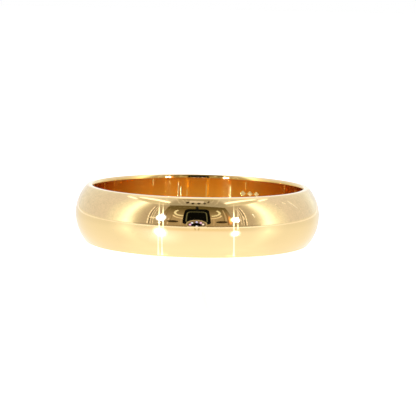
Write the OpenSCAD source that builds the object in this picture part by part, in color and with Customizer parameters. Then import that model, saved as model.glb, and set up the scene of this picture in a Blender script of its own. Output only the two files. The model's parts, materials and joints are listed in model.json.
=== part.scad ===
// Plain wedding band with a domed outside, in millimetres.
// The finger's axis is Z, and the origin is the centre of the bore at mid-width.
// The band is one piece of gold: a straight bore with its edges eased for the finger, a domed
// outside, a narrow flat ring on each side that it can lie on, and a rounded shoulder between
// each flat ring and the dome. Blank marks are struck in the bore.

/* [Band] */
// Diameter of the bore: size 58, 58 mm round the finger
bore_d = 18.46; // [14:0.02:23]
// Width along the finger
band_w = 5; // [4:0.25:8]
// Thickness at the crown of the dome
wall = 1.5; // [1:0.05:2]

/* [Edges] */
// How far down the bore each of its edges is eased
ease_h = 0.34; // [0.12:0.01:0.38]
// How far into the wall each edge of the bore is eased
ease_w = 0.1; // [0.04:0.01:0.12]
// Width of the flat ring on each side
land_w = 0.28; // [0.04:0.01:0.3]
// Radius from each flat ring into the dome
shoulder_r = 0.32; // [0.1:0.01:0.4]

/* [Struck marks] */
// Number of blank marks in the row
mark_count = 3; // [1:1:5]
// Length of a mark round the bore
mark_l = 0.6; // [0.3:0.05:0.65]
// Height of a mark along the finger
mark_h = 0.5; // [0.3:0.05:1.2]
// Depth of a mark below the bore
mark_depth = 0.06; // [0.02:0.01:0.12]
// Distance from one mark to the next, round the bore
mark_pitch = 0.72; // [0.7:0.02:1.5]
// Height of the row above mid-width
mark_z = 0.95; // [-1:0.05:1]
// Direction of the row's middle, from +X towards +Y
mark_turn = 58.5; // [0:0.5:360]

/* [Hidden] */

$fn = 180;
gold = [0.93, 0.8, 0.55];

bore_r = bore_d / 2;
crown_r = bore_r + wall;
half_w = band_w / 2;

// The arc that eases the bore's upper edge leaves the bore without a corner and meets the flat
// ring ease_w further out
ease_r = (pow(ease_h, 2) + pow(ease_w, 2)) / (2 * ease_w);
ease_x = bore_r + ease_r;
ease_z = half_w - ease_h;

// Centre of the upper shoulder's arc, which starts where the flat ring ends
shoulder_x = bore_r + ease_w + land_w;
shoulder_z = half_w - shoulder_r;

// The dome is the arc that passes over the crown and is tangent to both shoulders
rise = crown_r - shoulder_x;
dome_r = (pow(shoulder_z, 2) + pow(rise, 2) - pow(shoulder_r, 2)) / (2 * (rise - shoulder_r));
dome_x = crown_r - dome_r;
// Direction in which the dome and the upper shoulder meet, seen from both their centres
dome_turn = atan2(shoulder_z, shoulder_x - dome_x);

// Angle from one mark to the next
mark_step = mark_pitch / bore_r * 180 / PI;

// What easing takes off the upper edge of the bore
module ease_waste() {
    translate([ease_x, ease_z])
        difference() {
            translate([-2 * ease_r, 0])
                square(2 * ease_r);
            circle(ease_r);
        }
}

// What rounding takes off the upper shoulder
module shoulder_waste() {
    reach = 2 * shoulder_r;
    translate([shoulder_x, shoulder_z])
        difference() {
            polygon([
                [0, 0],
                reach * [cos(dome_turn), sin(dome_turn)],
                [reach, reach],
                [0, reach]
            ]);
            circle(shoulder_r);
        }
}

module edge_waste() {
    ease_waste();
    shoulder_waste();
}

// The band's cross-section, out from the bore
module section() {
    difference() {
        intersection() {
            translate([dome_x, 0])
                circle(dome_r);
            translate([bore_r, -half_w])
                square([2 * wall, band_w]);
        }
        edge_waste();
        mirror([0, 1]) edge_waste();
    }
}

// A row of blank lozenges, as deep as the marks are struck
module marks() {
    intersection() {
        for (i = [0 : mark_count - 1])
            rotate([0, 0, mark_turn + (i - (mark_count - 1) / 2) * mark_step])
                translate([0, 0, mark_z])
                    rotate([0, 90, 0])
                        linear_extrude(crown_r)
                            polygon([
                                [mark_h / 2, 0],
                                [0, mark_l / 2],
                                [-mark_h / 2, 0],
                                [0, -mark_l / 2]
                            ]);
        cylinder(h = band_w, r = bore_r + mark_depth, center = true);
    }
}

module band() {
    color(gold)
        difference() {
            rotate_extrude()
                section();
            marks();
        }
}

band();
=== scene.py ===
"""A polished gold wedding band on a white table in a small light tent.

A polished band shows little but its surroundings, so most of this script is the tent: lit cards, each
placed where the band's outside shows it to the camera. The camera itself doesn't see them.

Lengths are metres and angles are degrees. Azimuth 0 is towards the camera (-Y) and 90 is towards +X.
Where a comment gives places or outlines in the tent, they are azimuths and elevations.
"""
import json
import math

import bpy
from mathutils import Matrix, Vector


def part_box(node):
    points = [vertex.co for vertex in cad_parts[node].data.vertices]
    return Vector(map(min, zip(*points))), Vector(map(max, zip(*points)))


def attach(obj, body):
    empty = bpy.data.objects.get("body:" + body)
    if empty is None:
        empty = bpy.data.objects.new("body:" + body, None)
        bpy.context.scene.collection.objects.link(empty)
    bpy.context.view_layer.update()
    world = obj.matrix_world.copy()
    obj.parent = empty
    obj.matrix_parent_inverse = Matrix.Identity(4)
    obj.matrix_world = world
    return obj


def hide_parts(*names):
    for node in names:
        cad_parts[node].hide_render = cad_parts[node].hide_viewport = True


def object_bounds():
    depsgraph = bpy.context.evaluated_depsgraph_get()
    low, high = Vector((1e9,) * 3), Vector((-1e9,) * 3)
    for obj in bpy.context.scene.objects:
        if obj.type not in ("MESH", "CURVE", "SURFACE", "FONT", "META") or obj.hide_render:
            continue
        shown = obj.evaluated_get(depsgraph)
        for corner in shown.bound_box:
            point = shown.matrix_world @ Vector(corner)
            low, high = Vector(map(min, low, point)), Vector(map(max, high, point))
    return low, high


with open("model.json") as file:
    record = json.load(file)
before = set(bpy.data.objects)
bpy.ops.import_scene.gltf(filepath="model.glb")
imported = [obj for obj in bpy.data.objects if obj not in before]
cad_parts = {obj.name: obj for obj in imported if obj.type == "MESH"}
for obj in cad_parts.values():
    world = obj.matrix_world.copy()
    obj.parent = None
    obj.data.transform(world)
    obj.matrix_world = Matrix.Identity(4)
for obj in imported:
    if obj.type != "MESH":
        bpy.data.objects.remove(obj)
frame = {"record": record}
CAD_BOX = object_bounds()
# The band's radius at its crown
CROWN_R = CAD_BOX[1][1]

# Camera, fitted to the band's outline in the photo
CAMERA_ELEVATION = 7.10
CAMERA_ROLL = -1.16
CAMERA_DISTANCE = 0.1520
LENS_MM = 149.0
SENSOR_MM = 36.0
SHIFT = (0.0256, 0.0130)

# The band's section, where the mounts don't give it
EASE_W = 0.0001
SHOULDER_R = 0.00032
CORNER_R = 0.00004

# Mesh density
TURN_STEPS = 360
MARK_STEPS = 60
DOME_ROWS = 40
SHOULDER_ROWS = 12
CORNER_ROWS = 6
EASE_ROWS = 20
BORE_ROWS = 6
MARK_ROWS = 30
# What rounding may add to a length
ROUNDING = 1e-9

# Struck marks, three blank lozenges in the bore: direction from +X towards +Y, and height
MARK_COUNT = 3
MARK_LENGTH = 0.0006
MARK_HEIGHT = 0.0005
MARK_DEPTH = 0.00006
MARK_PITCH = 0.00072
MARK_Z = 0.00095
MARK_TURN = 58.5
# The share of a mark, from its rim to its middle, that slopes
MARK_SLOPE = 0.3

# Gold: the polished outside, and the bore, which is less polished. The bore's deeper, darker gold
# is painted shade, for the dimmer, oranger light that the bore gets from its own walls.
GOLD = (0.93, 0.70, 0.35, 1)
BORE_SHADED_GOLD = (0.86, 0.57, 0.18, 1)
POLISH_ROUGHNESS = 0.03
BORE_ROUGHNESS = 0.085
SCRATCH_ROUGHNESS = 0.17
MARK_ROUGHNESS = 0.38
# Fine scratches from polishing: noise with this many cycles a metre, and the range of it over which
# the gold gets rougher
FINE_AROUND = 260
FINE_ALONG = 26000
FINE_RANGE = (0.66, 0.76)
FINE_DEPTH = 4e-8
# Scratches on the outside, of which the two shortest are pits: direction from +X towards +Y, height,
# slant from level, length and depth
SCRATCH_WIDTH = 0.00009
SCRATCHES = (
    (-38.5, 0.0017, -33, 0.0015, 0.000018),
    (-40.5, 0.0019, -38, 0.0006, 0.000018),
    (-44.8, 0.0019, -20, 0.0005, 0.000018),
    (-49.2, 0.00165, -42, 0.0007, 0.000018),
    (-21.0, 0.0010, -40, 0.0005, 0.000018),
    (-63.8, 0.0011, -50, 0.0004, 0.0000075),
    (-53.4, -0.0020, 20, 0.00014, 0.00003),
    (-130.8, -0.0005, 20, 0.00014, 0.00003),
    (-20.0, -0.0007, 35, 0.0009, 0.00001),
    (64.0, 0.0009, -40, 0.0010, 0.00001),
    (131.0, -0.0011, 55, 0.0008, 0.00001),
)
# Worn streaks across the bore: direction from +X towards +Y, half width, heights of both ends, wear
WEAR_ROUGHNESS = 0.38
WEAR_DEPTH = 0.000012
WEAR = (
    (101.3, 0.6, -0.0005, 0.0020, 1.0),
    (99.8, 0.6, 0.0002, 0.0015, 1.0),
    (96.3, 0.7, -0.0006, 0.0012, 0.45),
    (85.1, 0.6, -0.0006, 0.0018, 0.45),
    (70.7, 1.5, -0.0006, 0.0018, 0.5),
    (61.3, 0.5, 0.0013, 0.0021, 0.5),
    (116.8, 0.6, 0.0014, 0.0022, 0.6),
)

# How far the tent's cards are from the band's outside, and how far cards that overlap are apart
WALL_AT = 0.40
STRIP_AT = 0.35
FOLD_AT = 0.34
OPENING_AT = 0.22
HOOP_AT = 0.21
CAMERA_AT = 0.195
LENS_LIGHT_AT = 0.15
LAMP_AT = 0.148
PLATE_AT = 0.045
LAYER_GAP = 0.006
LAMP_GAP = 0.001
TABLE_GAP = 0.00002


def mount(name):
    """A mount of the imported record."""
    return next(m for m in frame["record"]["mounts"] if m["name"] == name)


def steps(start, end, step):
    """Even numbers from start to end, about a step apart."""
    n = round(abs(end - start) / step)
    return [start + (end - start) * i / n for i in range(n + 1)]


def share(x, low, high):
    """How far x is on the way from low to high, from 0 to 1."""
    return min(1, max(0, (x - low) / (high - low)))


def blend(low, high, t):
    """The colour or place a share t of the way from low to high."""
    return tuple(a + (b - a) * t for a, b in zip(low, high))


def between(stops, x):
    """The colour at x on a gradient of (x, colour) stops."""
    for (x0, c0), (x1, c1) in zip(stops, stops[1:]):
        if x <= x1:
            return blend(c0, c1, share(x, x0, x1))
    return stops[-1][1]


def tinted(level, tint):
    """The colour of a light this bright with this tint."""
    return tuple(level * part for part in tint)


def grey(level):
    """A colour without tint."""
    return (level, level, level)


# ---- The band ----


def arc(centre, radius, start, end, count):
    """Places (r, z) along an arc of the section, from angle start to angle end."""
    turns = [math.radians(start + (end - start) * i / count) for i in range(count + 1)]
    return [(centre[0] + radius * math.cos(t), centre[1] + radius * math.sin(t)) for t in turns]


def line(start, end, count):
    """Places (r, z) evenly spaced up to the end, without the start."""
    return [blend(start, end, i / count) for i in range(1, count + 1)]


def dome():
    """The radius and half turn of the outside across the band, and the shoulder's middle (r, z)."""
    crown_r, half_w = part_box("band")[1][1:]
    bore_r = mount("finger_bore")["dims"]["r_mm"] / 1000
    shoulder_x = 2 * mount("upper_edge")["pos_m"][0] - bore_r - EASE_W
    shoulder_z = half_w - SHOULDER_R
    rise = crown_r - shoulder_x
    dome_r = (shoulder_z**2 + rise**2 - SHOULDER_R**2) / (2 * (rise - SHOULDER_R))
    dome_turn = math.degrees(math.atan2(shoulder_z, shoulder_x - crown_r + dome_r))
    return dome_r, dome_turn, (shoulder_x, shoulder_z)


def eased_edge(bore_r, ease_z, half_w):
    """The section from the flat ring into the bore, where the eased edge ends at height ease_z.

    The corner between the flat ring and the eased edge is softened by a small arc inside both.
    """
    ease_r = ((half_w - ease_z) ** 2 + EASE_W**2) / (2 * EASE_W)
    ease_x = bore_r + ease_r
    corner_z = half_w - CORNER_R
    corner_turn = 180 - math.degrees(math.asin((corner_z - ease_z) / (ease_r - CORNER_R)))
    corner_x = ease_x + (ease_r - CORNER_R) * math.cos(math.radians(corner_turn))
    corner = arc((corner_x, corner_z), CORNER_R, 90, corner_turn, CORNER_ROWS)
    return corner + arc((ease_x, ease_z), ease_r, corner_turn, 180, EASE_ROWS)[1:]


def half_section():
    """The upper half of the section's outline (r, z), from the crown to mid-width in the bore."""
    crown_r, half_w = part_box("band")[1][1:]
    dome_r, dome_turn, shoulder = dome()
    bore = mount("finger_bore")["dims"]
    bore_r = bore["r_mm"] / 1000
    ease_z = bore["length_mm"] / 2000
    points = arc((crown_r - dome_r, 0), dome_r, 0, dome_turn, DOME_ROWS)
    points += arc(shoulder, SHOULDER_R, dome_turn, 90, SHOULDER_ROWS)[1:]
    points += eased_edge(bore_r, ease_z, half_w)
    # The rows are closer together where the marks are
    reach = 0.6 * MARK_HEIGHT
    heights = (ease_z, MARK_Z + reach, MARK_Z - reach, 0)
    for start, end, rows in zip(heights, heights[1:], (BORE_ROWS, MARK_ROWS, BORE_ROWS)):
        points += line((bore_r, start), (bore_r, end), rows)
    return points, bore_r


def section():
    """The section's closed outline (r, z), and the bore's radius."""
    upper, bore_r = half_section()
    lower = [(r, -z) for r, z in reversed(upper[1:-1])]
    return upper + lower, bore_r


def mark_depth(turn, z, bore_r):
    """Depth of the struck marks at a place in the bore."""
    depth = 0
    for i in range(MARK_COUNT):
        along = math.radians(turn - MARK_TURN) * bore_r - (i - (MARK_COUNT - 1) / 2) * MARK_PITCH
        inside = 1 - abs(along) / (MARK_LENGTH / 2) - abs(z - MARK_Z) / (MARK_HEIGHT / 2)
        depth = max(depth, MARK_DEPTH * share(inside, 0, MARK_SLOPE))
    return depth


def turn_angles(bore_r):
    """Directions of the mesh's columns in degrees, closer together where the marks are."""
    reach = math.degrees(MARK_COUNT * MARK_PITCH / 2 / bore_r) + 1
    coarse = [360 * i / TURN_STEPS for i in range(TURN_STEPS)]
    fine = [MARK_TURN - reach + 2 * reach * i / MARK_STEPS for i in range(MARK_STEPS + 1)]
    return sorted([t for t in coarse if abs(t - MARK_TURN) > reach] + fine)


def new_object(name, vertices, faces, material):
    """A mesh object with one material."""
    mesh = bpy.data.meshes.new(name)
    mesh.from_pydata(vertices, [], faces)
    mesh.materials.append(material)
    obj = bpy.data.objects.new(name, mesh)
    bpy.context.scene.collection.objects.link(obj)
    return obj


def belt(a, b, count):
    """Faces between two closed rows of so many vertices, which start at the vertices a and b."""
    return [(a + i, b + i, b + (i + 1) % count, a + (i + 1) % count) for i in range(count)]


def make_band():
    """The whole ring: its section turned round Z, with the marks sunk into the bore."""
    outline, bore_r = section()
    turns = turn_angles(bore_r)
    vertices = []
    for turn in turns:
        c, s = math.cos(math.radians(turn)), math.sin(math.radians(turn))
        for r, z in outline:
            if r < bore_r + ROUNDING:
                r += mark_depth(turn, z, bore_r)
            vertices.append((r * c, r * s, z))
    n = len(outline)
    faces = []
    for i in range(len(turns)):
        faces += belt(i * n, (i + 1) % len(turns) * n, n)
    band = new_object("polished_band", vertices, faces, gold_material(bore_r))
    band.data.polygons.foreach_set("use_smooth", [True] * len(faces))
    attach(band, "root")
    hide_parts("band")


# ---- Materials ----


class Nodes:
    """A material's node tree, with short ways to add to it."""

    def __init__(self, name):
        self.material = bpy.data.materials.new(name)
        self.material.use_nodes = True
        self.tree = self.material.node_tree
        self.tree.nodes.clear()

    def add(self, kind, links=None, **settings):
        """A node with these settings. links says what feeds each input: a socket or a plain value."""
        node = self.tree.nodes.new("ShaderNode" + kind)
        for name, value in settings.items():
            setattr(node, name, value)
        for name, value in (links or {}).items():
            if isinstance(value, bpy.types.NodeSocket):
                self.tree.links.new(value, node.inputs[name])
            else:
                node.inputs[name].default_value = value
        return node

    def math(self, operation, a, b=0.0):
        """The result of a calculation on one or two numbers."""
        return self.add("Math", {0: a, 1: b}, operation=operation).outputs[0]

    def ramp(self, value, low, high, start=0.0, end=1.0):
        """A number that goes from start to end as value goes from low to high."""
        links = {"Value": value, "From Min": low, "From Max": high, "To Min": start, "To Max": end}
        return self.add("MapRange", links).outputs["Result"]

    def mix(self, part, low, high):
        """A number this part of the way from low to high."""
        return self.add("Mix", {0: part, "A": low, "B": high}).outputs["Result"]

    def mix_colour(self, part, low, high):
        """A colour this part of the way from low to high. Inputs 6 and 7 and output 2 are the colours."""
        return self.add("Mix", {0: part, 6: low, 7: high}, data_type="RGBA").outputs[2]

    def finish(self, shader):
        """The material, with this shader as its surface."""
        output = self.add("OutputMaterial")
        self.tree.links.new(shader.outputs[0], output.inputs["Surface"])
        return self.material


class Place:
    """Where a point of the band is: its place, direction in radians, radius and height."""

    def __init__(self, nodes):
        self.point = nodes.add("TexCoord").outputs["Object"]
        x, y, self.z = nodes.add("SeparateXYZ", {0: self.point}).outputs
        self.turn = nodes.math("ARCTAN2", y, x)
        flat = nodes.add("CombineXYZ", {"X": x, "Y": y}).outputs[0]
        self.radius = nodes.add("VectorMath", {0: flat}, operation="LENGTH").outputs["Value"]


def fine_noise(nodes, place):
    """Noise drawn out round the band, for the fine scratches of its polish."""
    scale = (FINE_AROUND, FINE_AROUND, FINE_ALONG)
    scaled = nodes.add("Mapping", {"Vector": place.point, "Scale": scale}).outputs[0]
    return nodes.add("TexNoise", {"Vector": scaled, "Scale": 1.0, "Detail": 2.0}).outputs["Fac"]


def wear_mask(nodes, place):
    """How worn the bore is on its few worn streaks, from 0 to 1."""
    worn = 0.0
    for middle, half, low, high, amount in WEAR:
        off = nodes.math("ABSOLUTE", nodes.math("SUBTRACT", place.turn, math.radians(middle)))
        across = nodes.ramp(off, 0, math.radians(half), amount, 0)
        height = nodes.math("ABSOLUTE", nodes.math("SUBTRACT", place.z, (low + high) / 2))
        along = nodes.ramp(height, (high - low) / 3, (high - low) / 2, 1, 0)
        worn = nodes.math("MAXIMUM", worn, nodes.math("MULTIPLY", across, along))
    return worn


def scratch_depth(nodes, place):
    """The depth of the outside's few scratches."""
    scratched = 0.0
    for middle, level, slant, length, deep in SCRATCHES:
        c, s = math.cos(math.radians(slant)), math.sin(math.radians(slant))
        off = nodes.math("SUBTRACT", place.turn, math.radians(middle))
        u = nodes.math("MULTIPLY", off, place.radius)
        v = nodes.math("SUBTRACT", place.z, level)
        along = nodes.math("ADD", nodes.math("MULTIPLY", u, c), nodes.math("MULTIPLY", v, s))
        across = nodes.math("SUBTRACT", nodes.math("MULTIPLY", v, c), nodes.math("MULTIPLY", u, s))
        depth = nodes.ramp(nodes.math("ABSOLUTE", across), 0, SCRATCH_WIDTH / 2, deep, 0)
        end = nodes.ramp(nodes.math("ABSOLUTE", along), length / 3, length / 2, 1, 0)
        scratched = nodes.math("MAXIMUM", scratched, nodes.math("MULTIPLY", depth, end))
    return scratched


def struck_mask(nodes, place, bore_r):
    """1 in the struck marks: places just outside the bore's radius that aren't on an eased edge."""
    sunk = nodes.ramp(place.radius, bore_r + MARK_DEPTH / 12, bore_r + MARK_DEPTH / 3)
    height = nodes.math("ABSOLUTE", place.z)
    level = nodes.math("LESS_THAN", height, MARK_Z + MARK_HEIGHT)
    near = nodes.math("LESS_THAN", place.radius, bore_r + 2 * MARK_DEPTH)
    return nodes.math("MULTIPLY", nodes.math("MULTIPLY", sunk, level), near)


def gold_colour(nodes, bore, wear):
    """The bore's deeper gold, which is painted shade, but the outside's gold where the bore is worn."""
    plain = nodes.math("SUBTRACT", bore, nodes.math("MULTIPLY", bore, wear))
    return nodes.mix_colour(plain, GOLD, BORE_SHADED_GOLD)


def gold_roughness(nodes, bore, fine, wear, struck):
    """Smoothest outside, less smooth in the bore, and roughest where the bore is worn or struck."""
    outside = nodes.ramp(fine, *FINE_RANGE, POLISH_ROUGHNESS, SCRATCH_ROUGHNESS)
    inside = nodes.ramp(fine, *FINE_RANGE, BORE_ROUGHNESS, SCRATCH_ROUGHNESS)
    worn = nodes.mix(wear, inside, WEAR_ROUGHNESS)
    marked = nodes.mix(struck, worn, MARK_ROUGHNESS)
    return nodes.mix(nodes.math("MAXIMUM", bore, struck), outside, marked)


def gold_relief(nodes, place, bore, fine, wear):
    """Normals of the fine scratches, of the bore's worn streaks and of the outside's few scratches."""
    grooves = nodes.math("MULTIPLY", nodes.math("MULTIPLY", wear, bore), WEAR_DEPTH)
    outside = nodes.math("SUBTRACT", 1, bore)
    scratched = nodes.math("MULTIPLY", scratch_depth(nodes, place), outside)
    height = nodes.math("MULTIPLY", fine, FINE_DEPTH)
    height = nodes.math("SUBTRACT", height, nodes.math("ADD", grooves, scratched))
    return nodes.add("Bump", {"Height": height, "Distance": 1.0, "Strength": 1.0}).outputs[0]


def gold_material(bore_r):
    """Gold polished round and round, so that fine scratches run round the band."""
    nodes = Nodes("polished_gold")
    place = Place(nodes)
    # 1 in the bore and 0 outside, with the change on the eased edge
    bore = nodes.ramp(place.radius, bore_r + EASE_W / 8, bore_r + EASE_W / 2, 1, 0)
    fine = fine_noise(nodes, place)
    wear = wear_mask(nodes, place)
    struck = struck_mask(nodes, place, bore_r)
    tangent = nodes.add("Tangent", direction_type="RADIAL", axis="Z")
    shader = nodes.add(
        "BsdfPrincipled",
        {
            "Base Color": gold_colour(nodes, bore, wear),
            "Metallic": 1.0,
            "Roughness": gold_roughness(nodes, bore, fine, wear, struck),
            "Anisotropic": 1.0,
            "Anisotropic Rotation": 0.25,
            "Tangent": tangent.outputs[0],
            "Normal": gold_relief(nodes, place, bore, fine, wear),
        },
    )
    return nodes.finish(shader)


# How much the creases of the tent's cloth change its brightness, and over what range of the noise
CREASES = 0.09
CREASE_RANGE = (0.3, 0.7)


def glow_material(name, clear):
    """The light of a card, as bright as its paint. A clear one also shows what is behind it."""
    nodes = Nodes(name)
    paint = nodes.add("Attribute", attribute_name="paint").outputs["Color"]
    place = nodes.add("TexCoord").outputs["Object"]
    creases = nodes.add("TexNoise", {"Vector": place, "Scale": 45.0, "Detail": 4.0, "Distortion": 1.5})
    strength = nodes.ramp(creases.outputs["Fac"], *CREASE_RANGE, 1 - CREASES, 1 + CREASES)
    light = nodes.add("Emission", {"Color": paint, "Strength": strength})
    if clear:
        light = nodes.add("AddShader", {0: light.outputs[0], 1: nodes.add("BsdfTransparent").outputs[0]})
    return nodes.finish(light)


CARD = glow_material("tent_light", clear=False)
HAZE = glow_material("tent_glare", clear=True)


# ---- Where the band shows things to the camera ----


def direction(azimuth, elevation):
    """The unit vector towards a direction."""
    a, e = math.radians(azimuth), math.radians(elevation)
    return Vector((math.sin(a) * math.cos(e), -math.cos(a) * math.cos(e), math.sin(e)))


CAMERA_PLACE = direction(0, CAMERA_ELEVATION) * CAMERA_DISTANCE
DOME_R, DOME_TURN = dome()[:2]


def dome_radius(tilt):
    """The band's radius where its outside is tilted by this much from upright."""
    return CROWN_R - DOME_R * (1 - math.cos(math.radians(tilt)))


def on_dome(turn, tilt):
    """The place on the band's outside at an azimuth, where it is tilted by this much."""
    return direction(turn, 0) * dome_radius(tilt) + Vector((0, 0, DOME_R * math.sin(math.radians(tilt))))


def seen_in_band(azimuth, elevation, distance):
    """The point that the band's outside shows to the camera in this direction, no lower than the table."""
    away = direction(azimuth, elevation)
    start = on_dome(0, 0)
    # Each round comes closer to the place on the band that mirrors this direction
    for _ in range(3):
        normal = away + (CAMERA_PLACE - start).normalized()
        turn = math.degrees(math.atan2(normal.x, -normal.y))
        tilt = math.degrees(math.atan2(normal.z, math.hypot(normal.x, normal.y)))
        start = on_dome(turn, min(DOME_TURN, max(-DOME_TURN, tilt)))
    if elevation < 0:
        distance = min(distance, (start.z - CAD_BOX[0][2] - TABLE_GAP) / -away.z)
    return start + distance * away


def seen_at(turn, tilt):
    """The (azimuth, elevation) that the camera sees in the band's outside at a place on it."""
    away = (on_dome(turn, tilt) - CAMERA_PLACE).reflect(direction(turn, tilt)).normalized()
    return math.degrees(math.atan2(away.x, -away.y)), math.degrees(math.asin(away.z))


def fall(turn, low, high):
    """Places from one elevation to another that the camera sees along an upright line on the band.

    The line crosses the crown at this turn, and is upright in the picture.
    """
    lean = math.tan(math.radians(CAMERA_ROLL))
    places = []
    for tilt in steps(-DOME_TURN, DOME_TURN, 1.5):
        x = CROWN_R * math.sin(math.radians(turn)) + on_dome(turn, tilt).z * lean
        places.append(seen_at(math.degrees(math.asin(x / dome_radius(tilt))), tilt))
    return [place for place in places if low <= place[1] <= high]


# ---- Shapes of the tent's cards, by azimuth and elevation ----

HALO_RINGS = 8
HALO_POINTS = 32


def oval(azimuth, elevation, wide, high, points=32):
    """The outline of an oval, from its middle and its two half sizes."""
    turns = [2 * math.pi * i / points for i in range(points)]
    return [(azimuth + wide * math.cos(t), elevation + high * math.sin(t)) for t in turns]


def rounded(left, right, bottom, top, radius, points=6):
    """The outline of a rectangle with rounded corners."""
    corners = (
        (right - radius, top - radius, 0),
        (left + radius, top - radius, 90),
        (left + radius, bottom + radius, 180),
        (right - radius, bottom + radius, 270),
    )
    outline = []
    for az, el, start in corners:
        for t in steps(math.radians(start), math.radians(start + 90), math.pi / 2 / points):
            outline.append((az + radius * math.cos(t), el + radius * math.sin(t)))
    return outline


def grid(azimuths, elevations):
    """Rows of (azimuth, elevation), a row for each elevation."""
    return [(az, el) for el in elevations for az in azimuths]


def painted(name, vertices, faces, colours, material):
    """A card with a colour for each vertex. The band and the table see it, and the camera doesn't."""
    obj = new_object(name, vertices, faces, material)
    layer = obj.data.color_attributes.new("paint", "FLOAT_COLOR", "POINT")
    for item, colour in zip(layer.data, colours):
        item.color = (*colour, 1)
    obj.visible_camera = False
    return obj


def card(name, outline, distance, colour):
    """A card of one colour with this outline."""
    vertices = [seen_in_band(az, max(0, el), distance) for az, el in outline]
    return painted(name, vertices, [tuple(range(len(outline)))], [colour] * len(outline), CARD)


def strip(name, path, width, distance, colours, material):
    """A strip along a path, with a colour for each of its points."""
    vertices = []
    for i, (az, el) in enumerate(path):
        before, after = path[max(0, i - 1)], path[min(len(path) - 1, i + 1)]
        run = Vector((after[0] - before[0], after[1] - before[1])).normalized() * width / 2
        vertices += [seen_in_band(az - s * run[1], el + s * run[0], distance) for s in (-1, 1)]
    faces = [(2 * i, 2 * i + 1, 2 * i + 3, 2 * i + 2) for i in range(len(path) - 1)]
    return painted(name, vertices, faces, [c for c in colours for _ in (0, 1)], material)


def patch(name, places, columns, distance, shade):
    """A card through rows of places, so many to a row. shade gives the colour of each."""
    vertices = [seen_in_band(az, el, distance) for az, el in places]
    rows = len(places) // columns
    starts = [j * columns + i for j in range(rows - 1) for i in range(columns - 1)]
    faces = [(k, k + 1, k + columns + 1, k + columns) for k in starts]
    return painted(name, vertices, faces, [shade(az, el) for az, el in places], CARD)


def halo(name, middle, size, distance, colour):
    """A clear oval glow that fades to nothing at its rim."""
    vertices = [seen_in_band(*middle, distance)]
    colours = [colour]
    for j in range(1, HALO_RINGS + 1):
        out = j / HALO_RINGS
        for az, el in oval(*middle, size[0] * out, size[1] * out, HALO_POINTS):
            vertices.append(seen_in_band(az, el, distance))
            colours.append(tinted((1 - out) ** 2, colour))
    faces = [(0, 1 + i, 1 + (i + 1) % HALO_POINTS) for i in range(HALO_POINTS)]
    for j in range(HALO_RINGS - 1):
        faces += belt(1 + j * HALO_POINTS, 1 + (j + 1) * HALO_POINTS, HALO_POINTS)
    return painted(name, vertices, faces, colours, HAZE)


# ---- The tent's wall and roof ----

SIDES = ((-1, "left"), (1, "right"))
# Elevations between which the wall stands
WALL_FOOT = -0.3
WALL_TOP = 50
# Brightness round the tent's wall by distance in azimuth from the camera: the unlit front, the
# bright panel on each side, and the white back
WALL = (
    (0, (0.46, 0.40, 0.32)),
    (38, (0.48, 0.42, 0.35)),
    (46, (0.55, 0.50, 0.44)),
    (53, (0.58, 0.52, 0.48)),
    (57, (0.70, 0.66, 0.60)),
    (61, (0.95, 0.94, 0.86)),
    (64, grey(1.3)),
    (66, grey(1.65)),
    (69, grey(1.95)),
    (73, grey(1.75)),
    (76, grey(1.46)),
    (80, grey(1.22)),
    (85, grey(1.03)),
    (90, (0.95, 0.96, 1.0)),
    (96, (0.86, 0.84, 0.92)),
    (110, (0.83, 0.82, 0.92)),
    (133, (0.84, 0.86, 0.96)),
    (146, (0.88, 0.92, 1.0)),
    (164, (0.92, 0.95, 1.0)),
    (180, (1.15, 1.18, 1.25)),
)
# Brightness up the roof by elevation, in front, at the sides and at the back. Straight above the band
# the front and the sides are alike.
ROOF_CROWN = ((88, grey(1.15)), (90, grey(1.22)))
ROOF_FRONT = (
    (50, (0.46, 0.44, 0.40)),
    (57, (0.44, 0.42, 0.38)),
    (61, (0.45, 0.42, 0.38)),
    (66, (0.48, 0.45, 0.40)),
    (69, (0.50, 0.47, 0.42)),
    (72, (0.40, 0.34, 0.25)),
    (78, (0.36, 0.31, 0.24)),
    (84, (0.75, 0.72, 0.68)),
) + ROOF_CROWN
ROOF_SIDE = (
    (50, (0.86, 0.82, 0.76)),
    (54, (0.74, 0.71, 0.60)),
    (57, (0.80, 0.78, 0.72)),
    (63, (0.80, 0.78, 0.78)),
    (67, (0.74, 0.71, 0.72)),
    (78, (0.66, 0.62, 0.56)),
    (84, (0.80, 0.78, 0.72)),
) + ROOF_CROWN
ROOF_BACK = (
    (50, (1.02, 1.04, 1.10)),
    (60, (1.10, 1.12, 1.16)),
    (90, grey(1.22)),
)
# Distances in azimuth from the camera over which the front turns into the side, and that into the back
FRONT_TO_SIDE = (35, 45)
SIDE_TO_BACK = (85, 100)


def wall_shade(azimuth, elevation):
    """Colour of the wall, which is the same at every elevation."""
    return between(WALL, abs(azimuth))


def roof_shade(azimuth, elevation):
    """Colour of the roof."""
    side = share(abs(azimuth), *FRONT_TO_SIDE)
    back = share(abs(azimuth), *SIDE_TO_BACK)
    near = blend(between(ROOF_FRONT, elevation), between(ROOF_SIDE, elevation), side)
    return blend(near, between(ROOF_BACK, elevation), back)


def make_cloth():
    """The tent's wall and roof."""
    azimuths = steps(-180, 180, 2)
    wall = grid(azimuths, steps(WALL_FOOT, WALL_TOP, 5))
    roof = grid(azimuths, steps(WALL_TOP, 90, 2))
    patch("tent_wall", wall, len(azimuths), WALL_AT, wall_shade)
    patch("tent_roof", roof, len(azimuths), WALL_AT, roof_shade)


# The straight slit of light along each side of the roof: from what azimuth to what azimuth, where it
# is highest, the tangent of its elevation there, and its brightness by azimuth
ROOF_STRIP_SPAN = (40, 90)
ROOF_STRIP_TOP = 55
ROOF_STRIP_RISE = 1.71
ROOF_STRIP_WIDTH = 3.3
ROOF_STRIP = ((40, grey(1.7)), (45, grey(2.2)), (76, grey(2.2)), (86, grey(1.9)))
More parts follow.
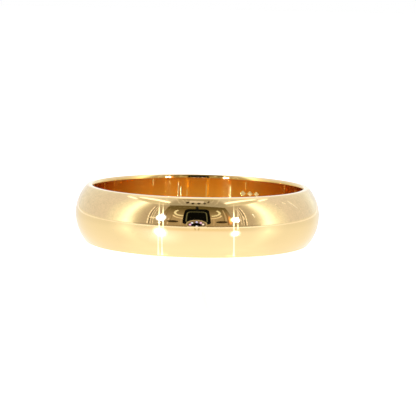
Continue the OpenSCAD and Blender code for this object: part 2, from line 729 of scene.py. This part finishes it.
# Its last stretch, which lies lower: azimuth, elevation and brightness
ROOF_STRIP_END_WIDTH = 2.4
ROOF_STRIP_END = ((86.5, 50.3, 1.8), (90, 50, 2.2), (95, 49.2, 2.2), (99, 48.4, 1.8), (104, 48, 1.2))
# Creases of the roof's cloth on one side of the camera: both ends, width and brightness. Their
# middle lies a little to the right of the camera.
ROOF_CREASES = (
    ((50, 72), (27, 59), 1.2, 0.2),
    ((39, 73), (20, 62), 0.7, 0.28),
    ((62, 67), (38, 54), 1.6, 0.12),
    ((31, 73), (19, 67), 0.7, 0.22),
    ((29, 62), (21, 55), 0.8, 0.15),
)
ROOF_CREASES_MIDDLE = 1
# The sign that hangs in the roof by its clips, and the hook beside it. A clip is given by its
# middle and half width.
ROOF_SIGN = rounded(-14, 11, 63.2, 68.8, 1)
ROOF_SIGN_COLOUR = (0.80, 0.76, 0.80)
ROOF_CLIPS = ((-15.5, 63, 2.8), (-7, 61.3, 2.4), (2, 61.5, 2.6), (10.8, 61.6, 2.4))
ROOF_CLIP_HEIGHT = 2.6
ROOF_CLIP_COLOUR = (0.05, 0.035, 0.02)
ROOF_HOOK = ((16, 62.5), (21.5, 68))
ROOF_HOOK_WIDTH = 2.4
ROOF_HOOK_COLOUR = (0.12, 0.09, 0.05)


def roof_strip_height(azimuth):
    """Elevation of the slit of light in the roof."""
    return math.degrees(math.atan(ROOF_STRIP_RISE * math.cos(math.radians(azimuth - ROOF_STRIP_TOP))))


def make_roof_lights(side, name):
    """The slit of light along one side of the roof, and the creases beside it."""
    azimuths = steps(*ROOF_STRIP_SPAN, 2.5)
    path = [(side * az, roof_strip_height(az)) for az in azimuths]
    light = [between(ROOF_STRIP, az) for az in azimuths]
    strip("roof_strip_" + name, path, ROOF_STRIP_WIDTH, STRIP_AT, light, CARD)
    path = [(side * az, el) for az, el, level in ROOF_STRIP_END]
    light = [grey(level) for az, el, level in ROOF_STRIP_END]
    strip("roof_strip_end_" + name, path, ROOF_STRIP_END_WIDTH, STRIP_AT, light, CARD)
    for k, (start, end, width, level) in enumerate(ROOF_CREASES):
        path = [(side * az + ROOF_CREASES_MIDDLE, el) for az, el in (start, end)]
        strip(f"roof_crease_{name}_{k}", path, width, STRIP_AT, [grey(level)] * 2, HAZE)


def make_roof_sign():
    """The sign in the roof, its clips and the hook beside it."""
    card("roof_sign", ROOF_SIGN, STRIP_AT, ROOF_SIGN_COLOUR)
    for az, el, wide in ROOF_CLIPS:
        card(f"roof_clip_{az}", oval(az, el, wide, ROOF_CLIP_HEIGHT), FOLD_AT, ROOF_CLIP_COLOUR)
    strip("roof_hook", ROOF_HOOK, ROOF_HOOK_WIDTH, FOLD_AT, [ROOF_HOOK_COLOUR] * 2, CARD)


# Folds of the cloth beside each lamp: azimuth of the foot, brightness and width. Their brightness
# ripples along them, by a share of it and at a rate in radians, and above a bend they lean outwards.
FOLDS = ((47.0, 1.3, 1.1), (45.4, 0.2, 0.9), (44, 0.95, 0.8), (42.8, 0.38, 0.6), (41.8, 0.95, 0.8))
FOLD_SPAN = (1, 44)
FOLD_TINT = (1, 0.9, 0.84)
FOLD_RIPPLE = 0.3
FOLD_RIPPLE_RATE = 0.9
FOLD_BEND = 12
FOLD_LEAN = 1 / 15
# Cards that lie across the folds: name, outline and colour
FOLD_TIES = (
    ("fold_joint", oval(-43, 17, 3.2, 1.7), (1.25, 1.2, 1.15)),
    ("fold_tie", oval(45.2, 20, 0.8, 5), (1.1, 1.0, 0.95)),
)


def make_folds(side, name):
    """The folds of the cloth on one side."""
    for foot, level, width in FOLDS:
        heights = steps(*FOLD_SPAN, 2)
        path = [(side * (foot + max(0, el - FOLD_BEND) * FOLD_LEAN), el) for el in heights]
        waves = [math.sin(side * el * FOLD_RIPPLE_RATE + foot * 2) for el in heights]
        light = [tinted(level * (1 + FOLD_RIPPLE * wave), FOLD_TINT) for wave in waves]
        strip(f"fold_{name}_{foot}", path, width, FOLD_AT, light, CARD)


def make_fold_ties():
    """The cards that lie across the folds."""
    for name, outline, colour in FOLD_TIES:
        card(name, outline, FOLD_AT - LAYER_GAP, colour)


# ---- The white plate that the band lies on, and the dark joint beyond it ----

# The plate's bright edge: its elevation and brightness by distance in azimuth from the camera
PLATE_EDGE = (
    (0, (-2.9, 1.25)),
    (20, (-2.9, 1.4)),
    (46, (-3.1, 1.5)),
    (62, (-3.0, 1.4)),
    (75, (-2.8, 1.25)),
    (90, (-2.6, 1.12)),
    (180, (-2.6, 1.15)),
)
PLATE_EDGE_WIDTH = 1.5
PLATE_TINT = (1, 1, 1.1)
# The joint on one side: its azimuths, and for each of its elevations the share that is left of the
# brightness behind it
JOINT_SPAN = (9, 61)
JOINT_LEVELS = {-1.1: 0.76, 0.3: 0.76, 1.9: 0.9}
# Distance in azimuth from the camera over which the wall takes over from the opening behind the joint
OPENING_TO_WALL = (31, 35)


def joint_shade(azimuth, elevation):
    """Colour of the joint: that of the opening or the wall behind it, but darker."""
    wall = share(abs(azimuth), *OPENING_TO_WALL)
    behind = blend(opening_shade(azimuth, 0), wall_shade(azimuth, 0), wall)
    return tinted(JOINT_LEVELS[elevation], behind)


def make_joint(side, name):
    """The joint on one side of the camera."""
    azimuths = [side * az for az in steps(*JOINT_SPAN, 2)]
    patch("joint_" + name, grid(azimuths, JOINT_LEVELS), len(azimuths), PLATE_AT, joint_shade)


def make_plate_edge():
    """The plate's bright edge, all the way round."""
    azimuths = steps(-180, 180, 4)
    edge = [between(PLATE_EDGE, abs(az)) for az in azimuths]
    path = [(az, el) for az, (el, level) in zip(azimuths, edge)]
    light = [tinted(level, PLATE_TINT) for el, level in edge]
    strip("plate_edge", path, PLATE_EDGE_WIDTH, PLATE_AT, light, CARD)


# ---- The tent's front opening, and what stands in it ----

# The opening's azimuths, the tangent of its top's elevation in front, and how much less that is for
# each degree to the right
OPENING_SPAN = (-34.5, 33)
OPENING_RISE = 1.4
OPENING_FALL = 0.003
OPENING_ROWS = 24
# Brightness low in the opening, by distance in azimuth from the camera
OPENING = ((0, (0.36, 0.28, 0.18)), (18, (0.44, 0.35, 0.24)), (33, (0.44, 0.35, 0.24)))
# Colour high in the opening, and the elevations over which the low one turns into it
OPENING_HIGH = (0.14, 0.11, 0.045)
OPENING_FADE = (22, 46)
# Things that stand in the room behind the opening: azimuth, elevations of both ends, width, colour
ROOM = (
    (-31.6, 3, 44, 1.2, (0.26, 0.21, 0.13)),
    (-27.6, 3, 19, 1.3, (0.74, 0.62, 0.52)),
    (-25.4, 14, 40, 0.8, (0.30, 0.24, 0.14)),
    (-15.4, 4, 19, 1.3, (0.52, 0.43, 0.33)),
    (15.2, 4, 19, 1.2, (0.56, 0.43, 0.31)),
    (25.2, 12, 40, 0.9, (0.26, 0.20, 0.11)),
    (27.0, 12, 42, 1.2, (0.58, 0.46, 0.32)),
    (28.8, 4, 34, 1.1, (0.32, 0.19, 0.09)),
)
ROOM_LEAN = 1 / 40
# Hoops on both sides of the camera: name, middle and half sizes of the right one's oval, how far it
# goes round from its foot and by what step, in radians, width and colour
HOOPS = (
    ("hoop", (14, 35.2), (9.2, 8.2), (2.3, 0.2), 2.4, (1.0, 0.98, 0.8)),
    ("low_hoop", (13, 29.5), (11, 9), (1.4, 0.15), 1.9, (0.98, 0.86, 0.68)),
)
# The dark foot below them: middle and half sizes of the right one
FOOT = (23, 11.4, 5.6, 2.9)
FOOT_COLOUR = (0.06, 0.04, 0.015)
# The reflected camera, from its back layer to its front one: name, outline and colour
CAMERA_LAYERS = (
    ("camera_body", rounded(-13.6, 12.6, 5, 45.5, 5), grey(0.004)),
    ("camera_stub", rounded(-2, 1.3, 40, 53, 0.5), grey(0.01)),
    ("camera_border", rounded(-10.9, 9.8, 9, 38.6, 5), (0.15, 0.16, 0.11)),
    ("camera_middle", rounded(-9.7, 8.7, 8, 37.4, 4), grey(0.004)),
    ("lens_rim", oval(-0.5, 6, 9.8, 11), (0.52, 0.45, 0.34)),
    ("lens_inner_rim", oval(-0.5, 5.4, 8.7, 9.9), (0.22, 0.18, 0.15)),
    ("lens", oval(-0.7, 4.6, 5.3, 4.7), grey(0.004)),
)
# Lit spots in the lens: azimuth, elevation, colour
LENS_LIGHTS = (
    (-6.4, 4.8, (1.0, 0.7, 2.2)),
    (-4.7, 9.2, (1.0, 1.2, 2.4)),
    (-0.4, 11.6, (0.8, 0.9, 2.4)),
    (3.4, 9.8, (1.1, 0.8, 2.0)),
    (5.4, 5.8, (1.2, 1.2, 1.8)),
    (-0.4, 0.6, (1.0, 1.1, 2.0)),
)
LENS_LIGHT_SIZE = (1.1, 2)
# The lens's faint image in the table: azimuths and colours of its streaks, which draw together from
# the first elevation to the second
LENS_IMAGE = ((-2.3, (0.74, 0.6, 0.45)), (0.3, (0.95, 0.9, 0.85)), (2.0, (0.7, 0.58, 0.44)))
LENS_IMAGE_HEIGHTS = (-2, -9.5)
LENS_IMAGE_TAPER = 0.7
LENS_IMAGE_WIDTH = 1.1


def opening_top(azimuth):
    """Elevation of the straight top edge of the opening."""
    rise = OPENING_RISE - OPENING_FALL * azimuth
    return math.degrees(math.atan(rise * math.cos(math.radians(azimuth))))


def opening_shade(azimuth, elevation):
    """Colour of the dim room behind the opening."""
    return blend(between(OPENING, abs(azimuth)), OPENING_HIGH, share(elevation, *OPENING_FADE))


def make_opening():
    """The front opening, with the dim room behind it."""
    azimuths = steps(*OPENING_SPAN, 1.5)
    shares = steps(0, 1, 1 / OPENING_ROWS)
    places = [(az, opening_top(az) * part) for part in shares for az in azimuths]
    patch("opening", places, len(azimuths), OPENING_AT, opening_shade)
    for az, low, high, width, colour in ROOM:
        path = [(az + el * ROOM_LEAN, el) for el in steps(low, high, 6)]
        strip(f"room_{az}", path, width, OPENING_AT - LAYER_GAP, [colour] * len(path), CARD)


def make_hoops(side, name):
    """The hoops and the dark foot on one side of the camera."""
    for kind, (az, el), (wide, high), (end, step), width, colour in HOOPS:
        path = [(side * (az + wide * math.sin(t)), el - high * math.cos(t)) for t in steps(0, end, step)]
        strip(f"{kind}_{name}", path, width, HOOP_AT, [colour] * len(path), CARD)
    az, el, wide, high = FOOT
    card("foot_" + name, oval(side * az, el, wide, high), HOOP_AT, FOOT_COLOUR)


def make_reflected_camera():
    """The camera as the band shows it, with the lights in its lens and its image in the table."""
    for i, (name, outline, colour) in enumerate(CAMERA_LAYERS):
        card(name, outline, CAMERA_AT - i * LAYER_GAP, colour)
    for az, el, colour in LENS_LIGHTS:
        card(f"lens_light_{az}", oval(az, el, *LENS_LIGHT_SIZE), LENS_LIGHT_AT, colour)
    top, bottom = LENS_IMAGE_HEIGHTS
    for az, colour in LENS_IMAGE:
        path = [(az, top), (az * LENS_IMAGE_TAPER, bottom)]
        strip(f"lens_image_{az}", path, LENS_IMAGE_WIDTH, LAMP_AT, [colour] * 2, CARD)


# ---- Lamps and soft lights ----

# The lamps: the middle and size of their glow, its colour, and the turns and strengths of their bars
LAMPS = (
    ("left", (-34.8, 18.6), (6.1, 10), (14, 19, 34), ((-16.9, 1), (-15.1, 1))),
    ("right", (36.3, 16), (5.8, 8), (15, 17, 24), ((16.4, 1), (18.3, 0.25))),
)
BAR_LEVEL = 130
BAR_HALF_WIDTH = 0.5
BAR_CORNER = 0.45
# How far a bar reaches below and above the middle of its glow
BAR_BELOW = 5
BAR_ABOVE = 4.5
# The upright line of glare through each bar, and its weaker part across the plate's edge
GLARE_SPAN = (-2, 57)
GLARE_WIDTH = 1.2
GLARE_LEVEL = 3.2
GLARE_TINT = (1, 1.1, 1.2)
GLARE_REACH = 20
LINK_SPAN = (-9, 5)
LINK_WIDTH = 1.3
LINK_LEVEL = 1.3
# The lamps' images in the table: middle, size, and the turns and strengths of the glare that falls
# down the band
LAMP_IMAGES = (
    ("left", (-35, -17), (9, 17), ((-17.4, 0.8), (-15.7, 1))),
    ("right", (36.3, -18), (6.4, 10), ((16.5, 0.9),)),
)
LAMP_IMAGE_COLOUR = (5, 6, 9)
IMAGE_GLARE_SPAN = (-80, -6)
IMAGE_GLARE_WIDTH = 1.3
IMAGE_GLARE_TINT = (1, 1.1, 1.4)
# Other soft lights, as middle, size and colour: the side panels' images in the table, a light at the
# back and the haze round the left lamp's image. The last is the right lamp's orange fringe.
SOFT_LIGHTS = (
    ("panel_image_left", (-70, -14), (26, 32), (0.36, 0.38, 0.38)),
    ("panel_image_right", (70, -14), (26, 32), (0.36, 0.38, 0.38)),
    ("back_light", (149, 7), (21, 28), (0.16, 0.24, 0.30)),
    ("lamp_haze", (-36, -26), (30, 32), (0.45, 0.5, 0.85)),
)
FRINGE = ("lamp_fringe", (31.3, 15), (2.1, 14), LAMP_AT - 3 * LAMP_GAP, (4.0, 1.2, 0.1))


def glare_level(elevation, middle, strength):
    """Brightness of the glare through a bar, which is less and less away from the bar's middle."""
    return GLARE_LEVEL * strength * math.exp(-(((elevation - middle) / GLARE_REACH) ** 2))


def make_bar(name, turn, strength, height):
    """One lit bar of a lamp, with the glare through it."""
    path = fall(turn, *GLARE_SPAN)
    across = min(path, key=lambda place: abs(place[1] - height))[0]
    sides = (across - BAR_HALF_WIDTH, across + BAR_HALF_WIDTH)
    bar = rounded(*sides, height - BAR_BELOW, height + BAR_ABOVE, BAR_CORNER)
    card("lamp_" + name, bar, LAMP_AT - 2 * LAMP_GAP, grey(BAR_LEVEL))
    glare = [tinted(glare_level(el, height, strength), GLARE_TINT) for _, el in path]
    strip("lamp_glare_" + name, path, GLARE_WIDTH, LAMP_AT - LAMP_GAP, glare, HAZE)
    link = fall(turn, *LINK_SPAN)
    light = [grey(LINK_LEVEL)] * len(link)
    strip("lamp_link_" + name, link, LINK_WIDTH, PLATE_AT - LAMP_GAP, light, HAZE)


def make_lamps():
    """A pair of lit bars on each side of the camera, with the glow round them."""
    for name, middle, size, colour, bars in LAMPS:
        halo("lamp_glow_" + name, middle, size, LAMP_AT, colour)
        for k, (turn, strength) in enumerate(bars):
            make_bar(f"{name}_{k}", turn, strength, middle[1])


def make_lamp_images():
    """What the table shows of the lamps."""
    for name, middle, size, lines in LAMP_IMAGES:
        halo("lamp_image_" + name, middle, size, LAMP_AT, LAMP_IMAGE_COLOUR)
        for k, (turn, strength) in enumerate(lines):
            path = fall(turn, *IMAGE_GLARE_SPAN)
            glare = [tinted(strength, IMAGE_GLARE_TINT)] * len(path)
            strip(f"lamp_image_glare_{name}_{k}", path, IMAGE_GLARE_WIDTH, LAMP_AT, glare, HAZE)


def make_soft_lights():
    """The soft lights that aren't part of a lamp."""
    for name, middle, size, colour in SOFT_LIGHTS:
        halo(name, middle, size, LAMP_AT, colour)
    halo(*FRINGE)


def make_tent():
    """The light tent, which only the band and the table see."""
    make_cloth()
    for side, name in SIDES:
        make_roof_lights(side, name)
        make_joint(side, name)
        make_folds(side, name)
        make_hoops(side, name)
    make_fold_ties()
    make_roof_sign()
    make_plate_edge()
    make_opening()
    make_reflected_camera()
    make_lamps()
    make_lamp_images()
    make_soft_lights()


# ---- Table, world, camera ----

TABLE_HALF = 3.0
# What metal sees of the table, by distance from the middle of the band in band radii: shaded under
# the band and bright outside it. In front it is brighter near the band, and warmer further out.
TABLE_INSIDE = (
    (0.0, (0.70, 0.61, 0.40)),
    (0.4, (0.78, 0.67, 0.44)),
    (0.6, (0.50, 0.42, 0.26)),
    (0.75, (0.29, 0.24, 0.13)),
    (0.87, (0.13, 0.10, 0.05)),
)
TABLE_SIDE = TABLE_INSIDE + (
    (0.92, grey(1.06)),
    (1.1, grey(1.0)),
    (1.3, grey(0.97)),
    (1.6, grey(0.95)),
    (2.0, grey(0.91)),
    (2.6, grey(0.88)),
    (8.0, grey(0.88)),
)
TABLE_FRONT = TABLE_INSIDE + (
    (0.92, grey(1.18)),
    (1.3, grey(1.12)),
    (1.8, grey(1.08)),
    (2.3, (0.98, 0.88, 0.74)),
    (3.2, (0.98, 0.91, 0.80)),
    (5.5, grey(1.04)),
)
# Azimuths at which the front colours begin and are full
FRONT_EDGES = (45, 20)
# The table's gloss inside the band and outside it, and where one turns into the other, in band radii
GLOSS_LEVELS = (0.4, 0.06)
GLOSS_EDGES = (0.86, 0.9)
GLOSS_ROUGHNESS = 0.13
# The light that the camera sees on the table in addition to what falls on it
TABLE_OWN_LIGHT = 0.62
TABLE_WHITE = (0.9, 0.9, 0.9, 1)


def table_ramp(nodes, distance, stops):
    """The colour at a distance on a gradient of (band radii, colour) stops."""
    reach = stops[-1][0]
    ramp = nodes.add("ValToRGB", {"Fac": nodes.math("DIVIDE", distance, reach)})
    elements = ramp.color_ramp.elements
    while len(elements) < len(stops):
        elements.new(1)
    for element, (x, colour) in zip(elements, stops):
        element.position = x / reach
        element.color = (*colour, 1)
    return ramp.outputs[0]


def seen_by_metal(nodes):
    """The table's painted brightness and faint gloss."""
    place = nodes.add("TexCoord").outputs["Object"]
    length = nodes.add("VectorMath", {0: place}, operation="LENGTH").outputs["Value"]
    distance = nodes.math("DIVIDE", length, CAD_BOX[1][0])
    across = nodes.add("SeparateXYZ", {0: place}).outputs["Y"]
    facing = nodes.math("MULTIPLY", nodes.math("DIVIDE", across, length), -1)
    front = nodes.ramp(facing, *(math.cos(math.radians(edge)) for edge in FRONT_EDGES))
    side_colour = table_ramp(nodes, distance, TABLE_SIDE)
    front_colour = table_ramp(nodes, distance, TABLE_FRONT)
    white = nodes.add("Emission", {"Color": nodes.mix_colour(front, side_colour, front_colour)})
    sheen = nodes.ramp(distance, *GLOSS_EDGES, *GLOSS_LEVELS)
    gloss = nodes.add("BsdfGlossy", {"Color": sheen, "Roughness": GLOSS_ROUGHNESS})
    return nodes.add("AddShader", {0: white.outputs[0], 1: gloss.outputs[0]})


def table_material():
    """White table. Metal sees its painted brightness and a faint gloss; the camera sees it lit."""
    nodes = Nodes("table")
    path = nodes.add("LightPath").outputs
    matt = nodes.add("BsdfDiffuse", {"Color": TABLE_WHITE})
    lift = nodes.math("MULTIPLY", path["Is Camera Ray"], TABLE_OWN_LIGHT)
    own = nodes.add("Emission", {"Strength": lift})
    lit = nodes.add("AddShader", {0: matt.outputs[0], 1: own.outputs[0]})
    mirrored = nodes.math("MAXIMUM", path["Is Glossy Ray"], path["Is Transmission Ray"])
    reflected = seen_by_metal(nodes)
    both = nodes.add("MixShader", {0: mirrored, 1: lit.outputs[0], 2: reflected.outputs[0]})
    return nodes.finish(both)


def make_table():
    """The table, on which the band rests."""
    z = CAD_BOX[0][2]
    half = TABLE_HALF
    corners = [(-half, -half, z), (half, -half, z), (half, half, z), (-half, half, z)]
    new_object("table", corners, [(0, 1, 2, 3)], table_material())


def make_world():
    """Even white light from all round."""
    world = bpy.data.worlds.new("studio")
    bpy.context.scene.world = world
    world.use_nodes = True
    world.node_tree.nodes["Background"].inputs["Color"].default_value = (1, 1, 1, 1)


def make_camera():
    """The photo's camera."""
    data = bpy.data.cameras.new("camera")
    data.sensor_width = SENSOR_MM
    data.lens = LENS_MM
    data.shift_x, data.shift_y = SHIFT
    data.clip_start = 0.01
    data.clip_end = 10
    camera = bpy.data.objects.new("camera", data)
    bpy.context.scene.collection.objects.link(camera)
    aim = (-CAMERA_PLACE).to_track_quat("-Z", "Y").to_matrix().to_4x4()
    roll = Matrix.Rotation(math.radians(-CAMERA_ROLL), 4, "Z")
    camera.matrix_world = Matrix.Translation(CAMERA_PLACE) @ aim @ roll
    bpy.context.scene.camera = camera


def settings():
    """Enough bounces for light that goes to and fro between the walls of the bore."""
    scene = bpy.context.scene
    scene.view_settings.view_transform = "Standard"
    scene.cycles.max_bounces = 16
    scene.cycles.glossy_bounces = 12


make_camera()
make_band()
make_tent()
make_table()
make_world()
settings()
